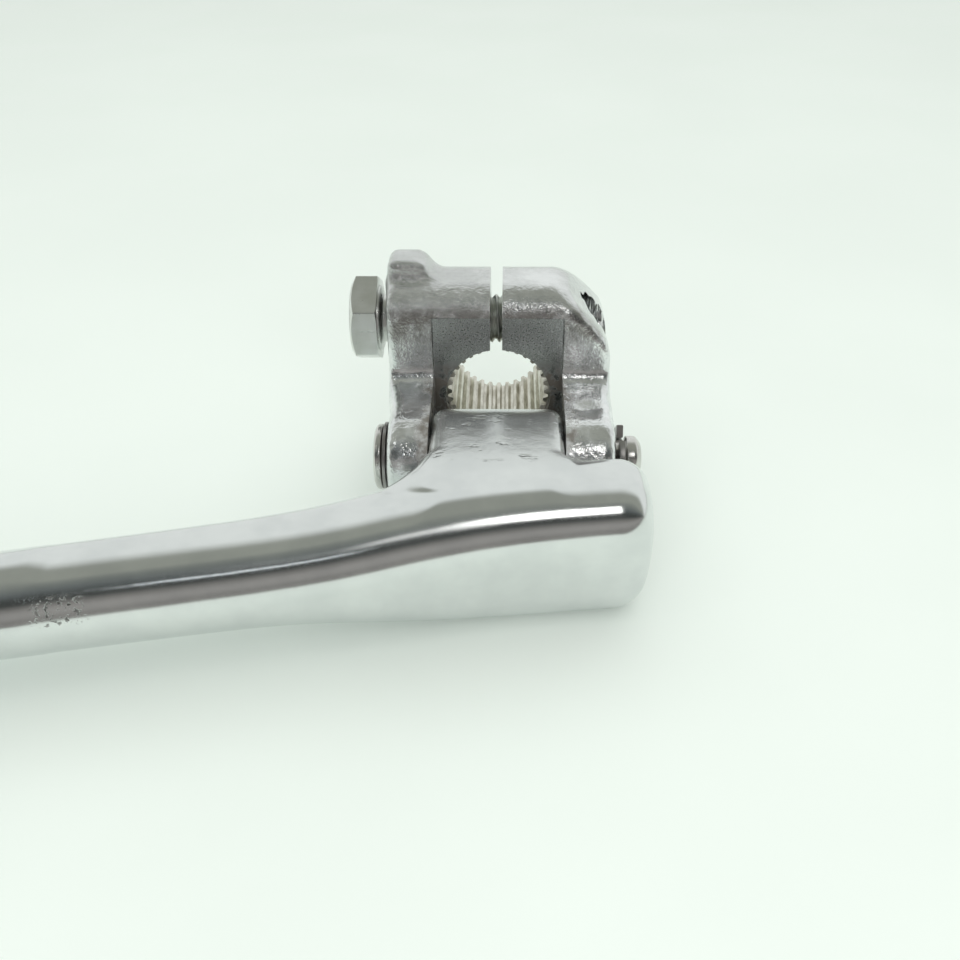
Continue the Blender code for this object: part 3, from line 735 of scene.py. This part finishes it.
class Finish:  # a material, or the world, and its nodes
    def __init__(self, name, owner=None):
        self.owner = owner or bpy.data.materials.new(name)
        self.owner.use_nodes = True
        self.tree = self.owner.node_tree
        self.shader = self.tree.nodes.get("Principled BSDF")

    def node(self, kind, settings=None, sockets=None, output=0):
        made = self.tree.nodes.new(kind)
        for key, value in (settings or {}).items():
            if key == "stops":
                self.fill(made.color_ramp, value)
            else:
                setattr(made, key, value)
        items = sockets.items() if isinstance(sockets, dict) else enumerate(sockets or ())
        for key, value in items:
            self.feed(made.inputs[key], value)
        return Wire(self, made.outputs[output])

    def fill(self, ramp, stops):
        while len(ramp.elements) < len(stops):
            ramp.elements.new(1.0)
        for element, (at, colour) in zip(ramp.elements, stops):
            element.position = at
            element.color = (*colour, 1.0)

    def feed(self, socket, value):
        if isinstance(value, Wire):
            self.tree.links.new(value.socket, socket)
        elif socket.type == "RGBA" and len(value) == 3:
            socket.default_value = (*value, 1.0)
        else:
            socket.default_value = value

    def axes(self):  # object position in millimetres from the bore
        place = self.node("ShaderNodeTexCoord", output=3)
        bore = (originX * mm, originY * mm, 0)
        centred = self.node("ShaderNodeVectorMath", {"operation": "SUBTRACT"}, [place, bore])
        return self.stretched(centred, (1 / mm, 1 / mm, 1 / mm))

    def split(self, vector):
        first = self.node("ShaderNodeSeparateXYZ", None, [vector])
        return [Wire(self, out) for out in first.socket.node.outputs]

    def noise(self, vector, scale, detail=3.0, rough=0.55):
        sockets = {"Vector": vector, "Scale": scale, "Detail": detail, "Roughness": rough}
        return self.node("ShaderNodeTexNoise", None, sockets)

    def stretched(self, vector, by):
        return self.node("ShaderNodeVectorMath", {"operation": "MULTIPLY"}, [vector, by])

    def blend(self, share, first, second):  # a colour between two
        return self.node("ShaderNodeMix", {"data_type": "RGBA"}, {0: share, 6: first, 7: second}, 2)

    def bump(self, height):  # height in millimetres
        sockets = {"Height": height, "Strength": 1.0, "Distance": mm}
        return self.node("ShaderNodeBump", None, sockets)

    def set(self, **values):
        names = {"colour": "Base Color", "roughness": "Roughness",
                 "metallic": "Metallic", "normal": "Normal"}
        for key, value in values.items():
            self.feed(self.shader.inputs[names[key]], value)
        return self.owner


def castChrome():
    f = Finish("cast_chrome")
    p = f.axes()
    x, y, z = f.split(p)
    bore = (x * x + (z - boreZ) * (z - boreZ)) ** 0.5  # distance from the bore's axis
    inBore = 1 - bore.ramp(8.45, 8.75)
    milled = (1 - abs(x).ramp(10.3, 10.6)) * y.ramp(-0.3, 0.2)
    milled = milled * (1 - y.ramp(0.5, 0.9)) * (1 - z.ramp(32.2, 32.4))
    pits = f.noise(p, 0.75, 4.0, 0.62)
    grain = f.noise(p, 2.6, 3.0, 0.6)
    # the crown and the pad are rougher cast skin, worn smoother to the right and at the rear
    crown = z.ramp(25.0, 31.0) * (1 - x.ramp(-3.0, 4.0) * 0.65)
    crown = crown * (1 - y.ramp(10.0, 16.0) * 0.7) * (1 - milled)
    legs = (1 - y.ramp(0.5, 3.0)) * (1 - milled)
    blotch = f.noise(p, 0.42, 4.0, 0.62)
    vertical = f.noise(f.stretched(p, (3.0, 3.0, 0.16)), 1.0, 4.0, 0.65)
    height = pits * (crown * 0.22 + legs * 0.03 + 0.04)
    height = height + grain * (crown * 0.12 + legs * 0.02 + 0.01)
    height = (height + blotch * legs * 0.24) * (1 - milled * 0.95) + vertical * milled * 0.03
    # painted shade round the lower half of the bore between the legs, thickest at the face, in
    # brown-black patches
    boreShade = (1 - bore.ramp(10.0, 14.5)) * (1 - z.ramp(20.0, 26.0)) * (1 - y.ramp(1.5, 4.0))
    boreShade = (boreShade * 1.5 * f.noise(p, 0.35, 4.0, 0.6).ramp(0.35, 0.62)).ramp(0.1, 0.9)
    tone = f.noise(p, 0.2, 4.0, 0.6)
    metal = f.blend(tone.ramp(0.32, 0.68), (0.70, 0.71, 0.71), (0.88, 0.89, 0.895))
    metal = f.blend(crown * 0.4, metal, (0.55, 0.555, 0.55))
    # a painted dark band under the crown, standing in for the dark reflection and shade on the
    # crown's rounded front
    paintedShadeBand = z.ramp(27.5, 29.5) * (1 - z.ramp(32.6, 34.5)) * (1 - y.ramp(1.5, 4.0)) * (1 - milled)
    metal = f.blend(paintedShadeBand * 0.75, metal, (0.30, 0.285, 0.27))
    metal = f.blend(milled * 0.85, metal, (0.50, 0.52, 0.52))
    # darken the face round the lower bore with the painted shade
    colour = f.blend(boreShade * 0.8, metal, (0.13, 0.105, 0.075))
    oil = f.noise(f.stretched(p, (1.2, 0.35, 1.2)), 0.9, 4.0, 0.6)
    splines = f.blend(oil.ramp(0.35, 0.65), (0.74, 0.72, 0.65), (0.50, 0.48, 0.41))
    colour = f.blend(inBore, colour, splines)
    # bright clouds on the legs, where the plating is dull
    cloud = blotch.ramp(0.42, 0.66) * legs * (1 - inBore)
    colour = f.blend(cloud * 0.6, colour, (0.86, 0.89, 0.90))
    # the painted shade's mask also raises roughness and lowers metallic
    roughness = 0.08 + crown * 0.04 + milled * 0.16 + boreShade * 0.2 + inBore * 0.2
    roughness = roughness + grain * 0.06 + legs * 0.03
    metallic = (1 - boreShade * 0.55) * (1 - cloud * 0.15)
    return f.set(colour=colour, roughness=roughness, metallic=metallic, normal=f.bump(height))


def brightChrome():
    f = Finish("bright_chrome")
    p = f.axes()
    x, y, z = f.split(p)
    along = f.noise(f.stretched(p, (0.05, 2.6, 2.6)), 1.0, 5.0, 0.7)
    faint = f.noise(f.stretched(p, (0.16, 0.5, 0.5)), 0.5, 3.0, 0.5)
    wobble = f.noise(p, 0.07, 2.0, 0.4)
    lugTop = (1 - abs(x).ramp(9.0, 11.5)) * y.ramp(-27.0, -21.0) * z.ramp(14.0, 16.0)
    dents = f.noise(f.stretched(p, (0.45, 0.9, 0.9)), 0.8, 2.0, 0.5).ramp(0.58, 0.78) * lugTop
    # a small scuffed patch on the bar's front
    scuffPlace = (1 - abs(x + 57.0).ramp(1.5, 4.0)) * (1 - abs(z - 14.0).ramp(0.8, 2.2))
    scuffPlace = scuffPlace * (1 - y.ramp(-44.0, -41.0))
    scuff = f.noise(p, 1.6, 3.0, 0.6).ramp(0.55, 0.61) * scuffPlace
    mottle = f.noise(p, 0.5, 4.0, 0.6)
    height = along * 0.0022 + faint * 0.006 + wobble * 0.05
    height = height + mottle * lugTop * 0.06 - dents * 0.07 - scuff * 0.08
    smudge = f.noise(p, 0.12, 4.0, 0.6)
    # a bluish film on the bar towards the pedal
    film = (1 - x.ramp(-76.0, -66.0)) * smudge.ramp(0.35, 0.6)
    colour = f.blend(smudge.ramp(0.3, 0.7), (0.70, 0.72, 0.72), (0.77, 0.79, 0.785))
    colour = f.blend(film * 0.3, colour, (0.52, 0.62, 0.74))
    colour = f.blend(scuff * 0.8, colour, (0.10, 0.09, 0.085))
    roughness = 0.105 + smudge * 0.05 + along * 0.05 + scuff * 0.3 + lugTop * 0.10
    return f.set(colour=colour, roughness=roughness, metallic=1.0, normal=f.bump(height))


def plainMetal(name, colours, roughness, grain=0.02, scale=1.4, stretch=(1, 1, 1)):
    f = Finish(name)
    p = f.stretched(f.axes(), stretch)
    speck = f.noise(p, scale, 4.0, 0.6)
    broad = f.noise(f.axes(), 0.25, 3.0, 0.5)
    colour = f.blend(broad.ramp(0.3, 0.7), *colours)
    worn = roughness + speck * 0.16
    return f.set(colour=colour, roughness=worn, metallic=1.0, normal=f.bump(speck * grain))


def rubberFinish():
    f = Finish("moulded_rubber")
    p = f.axes()
    grain = f.noise(p, 2.2, 4.0, 0.6)
    dust = f.noise(p, 0.12, 5.0, 0.6).ramp(0.45, 0.75)
    colour = f.blend(dust * 0.5, (0.018, 0.018, 0.019), (0.06, 0.058, 0.055))
    roughness = 0.62 + grain * 0.2
    return f.set(colour=colour, roughness=roughness, metallic=0.0, normal=f.bump(grain * 0.05))


def finishPiece(piece, material, body, node):
    piece.data.materials.clear()
    piece.data.materials.append(material)
    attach(piece, body)
    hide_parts(node)


metals = {  # two shades, roughness, grain in millimetres, and for some its frequency and stretch
    "zinc_plated_steel": (((0.68, 0.69, 0.66), (0.80, 0.81, 0.80)), 0.22, 0.02, 1.0, (0.2, 2, 2)),
    "oiled_thread": (((0.58, 0.60, 0.56), (0.86, 0.88, 0.84)), 0.24, 0.01),
    "pin_steel": (((0.58, 0.57, 0.55), (0.70, 0.69, 0.67)), 0.16, 0.008, 1.2, (3, 0.6, 0.6)),
    "dark_steel": (((0.30, 0.29, 0.28), (0.44, 0.43, 0.42)), 0.26, 0.01),
    "ball_steel": (((0.66, 0.66, 0.66), (0.72, 0.72, 0.72)), 0.05, 0.001),
}


def build():
    cast, bright = castChrome(), brightChrome()
    zinc, oily, steel, dark, ball = (plainMetal(name, *look) for name, look in metals.items())
    head, thread, shank = makeBolt()
    finishPiece(head, zinc, "boss", "pinch_bolt")
    finishPiece(thread, oily, "boss", "pinch_bolt")
    finishPiece(shank, zinc, "boss", "pinch_bolt")
    finishPiece(makePin(), steel, "boss", "pivot_pin")
    finishPiece(makeWasher(), dark, "boss", "pin_head_washer")
    finishPiece(makeClip(), dark, "boss", "pin_circlip")
    print("bolt, pin, washer and circlip made")
    finishPiece(makeArm(), bright, "arm", "kick_arm")
    finishPiece(makeRubber(), rubberFinish(), "arm", "pedal_rubber")
    finishPiece(makeBoss(), cast, "boss", "clamp_boss")
    finishPiece(makeBall(), ball, "ball", "detent_ball")
    finishPiece(makeSpring(), dark, "arm", "detent_spring")
    print("detent made")


room = {
    "floor": (0.80, 0.865, 0.815),
    "glow": 0.14,  # light that the thin table lets through
    "floorSize": 900.0,
    "frontEdge": -125.0,  # where the table ends in front
    "back": (0.86, 0.89, 0.87),  # bright wall and ceiling behind the lever
    "warm": (0.255, 0.245, 0.232),  # low in front
    "glare": (0.34, 0.33, 0.315),
    "dark": (0.055, 0.06, 0.057),
    "blue": (0.14, 0.155, 0.155),
    "overhead": (0.33, 0.345, 0.305),
}
# angles in degrees, and the focal length for a view that is width units wide
eye = {
    "place": (1.48, -141.93, 104.45),
    "pitch": 36.05,
    "yaw": -1.86,
    "roll": -0.71,
    "focal": 1000.0,
    "width": 960.0,
}


def makeFloor():
    size, rows = room["floorSize"], 41
    across, back = np.linspace(-size, size, rows), np.linspace(room["frontEdge"], size, rows)
    x, y = np.meshgrid(across, back, indexing="ij")
    points = np.stack([x, y, 0 * x], -1).reshape(-1, 3)
    floor = meshFrom("floor", points, gridFaces(rows, rows, closed=False), 0)
    outward(floor)
    f = Finish("pale_table")
    p = f.axes()
    cloud = f.noise(p, 0.012, 4.0, 0.55)
    lighter = tuple(c * 1.03 for c in room["floor"])
    colour = f.blend(cloud.ramp(0.35, 0.65), room["floor"], lighter)
    f.set(colour=colour, roughness=0.55)
    f.feed(f.shader.inputs["Emission Color"], room["floor"])
    f.feed(f.shader.inputs["Emission Strength"], room["glow"])
    floor.data.materials.append(f.owner)


def makeWorld():
    world = bpy.data.worlds.new("studio")
    bpy.context.scene.world = world
    w = Finish("studio", world)
    way = w.node("ShaderNodeTexCoord", output=0)
    x, y, z = w.split(way)
    # the angle up from the viewer's horizon and over the top, as a share of half a turn
    angle = w.node("ShaderNodeMath", {"operation": "ARCTAN2"}, [z, y * -1.0]) * (1 / math.pi)
    levels = [(0.0, "warm"), (0.05, "glare"), (0.09, "glare"), (0.13, "warm"), (0.19, "dark"),
              (0.235, "dark"), (0.30, "blue"), (0.47, "overhead"), (0.63, "overhead"),
              (0.72, "back"), (1.0, "back")]
    stops = [(at, room[name]) for at, name in levels]
    sky = w.node("ShaderNodeValToRGB", {"stops": stops}, [angle])
    background = w.tree.nodes["Background"]
    w.feed(background.inputs["Color"], sky)
    background.inputs["Strength"].default_value = 1.0


def addLamp(name, at, target, size, power, colour, mirrored):
    data = bpy.data.lights.new(name, "AREA")
    data.shape, data.size, data.size_y = "RECTANGLE", size[0] * mm, size[1] * mm
    data.energy, data.color = power, colour
    lamp = bpy.data.objects.new(name, data)
    bpy.context.scene.collection.objects.link(lamp)
    lamp.location = spot(at)
    lamp.visible_glossy = mirrored
    lamp.rotation_euler = (spot(target) - spot(at)).to_track_quat("-Z", "Y").to_euler()


def spot(point):
    return Vector(place([point])[0])


def makeCamera():
    data = bpy.data.cameras.new("camera")
    data.sensor_width = 36.0
    data.lens = eye["focal"] / eye["width"] * data.sensor_width
    data.clip_start, data.clip_end = 0.005, 20.0
    camera = bpy.data.objects.new("camera", data)
    bpy.context.scene.collection.objects.link(camera)
    pitch, yaw, roll = (math.radians(eye[k]) for k in ("pitch", "yaw", "roll"))
    flat = math.cos(pitch)
    forward = Vector((math.sin(yaw) * flat, math.cos(yaw) * flat, -math.sin(pitch)))
    level = Vector((math.cos(yaw), -math.sin(yaw), 0.0))
    above = level.cross(forward)
    right = level * math.cos(roll) + above * math.sin(roll)
    up = above * math.cos(roll) - level * math.sin(roll)
    camera.location = spot(eye["place"])
    camera.rotation_euler = Matrix((right, up, -forward)).transposed().to_euler()
    bpy.context.scene.camera = camera


# place, target, size, power, colour, and whether the chrome mirrors it
lamps = {
    "right_softbox": ((108, -285, 370), (10, -30, 10), (90, 125), 0.11, (1.0, 0.985, 0.96), True),
    "ceiling": ((0, 60, 700), (0, -20, 0), (1400, 1400), 4.2, (1.0, 1.0, 1.0), False),
    "front_fill": ((0, -520, 260), (0, -40, 0), (700, 400), 1.1, (1.0, 1.0, 1.0), False),
    "side_softbox": ((30, -310, 380), (10, -30, 10), (120, 70), 0.016, (1.0, 0.985, 0.96), True),
    "spark": ((-45, -390, 330), (-20, -40, 10), (60, 14), 0.007, (0.92, 0.97, 1.0), True),
    "left_softbox": ((-330, -150, 380), (-20, -30, 10), (70, 70), 0.05, (1.0, 0.99, 0.97), True),
}


def makeLights():
    for name, values in lamps.items():
        addLamp(name, *values)


build()
makeFloor()
makeWorld()
makeLights()
makeCamera()
bpy.context.scene.view_settings.view_transform = "Standard"
bpy.context.scene.view_settings.look = "None"
print("scene ready")
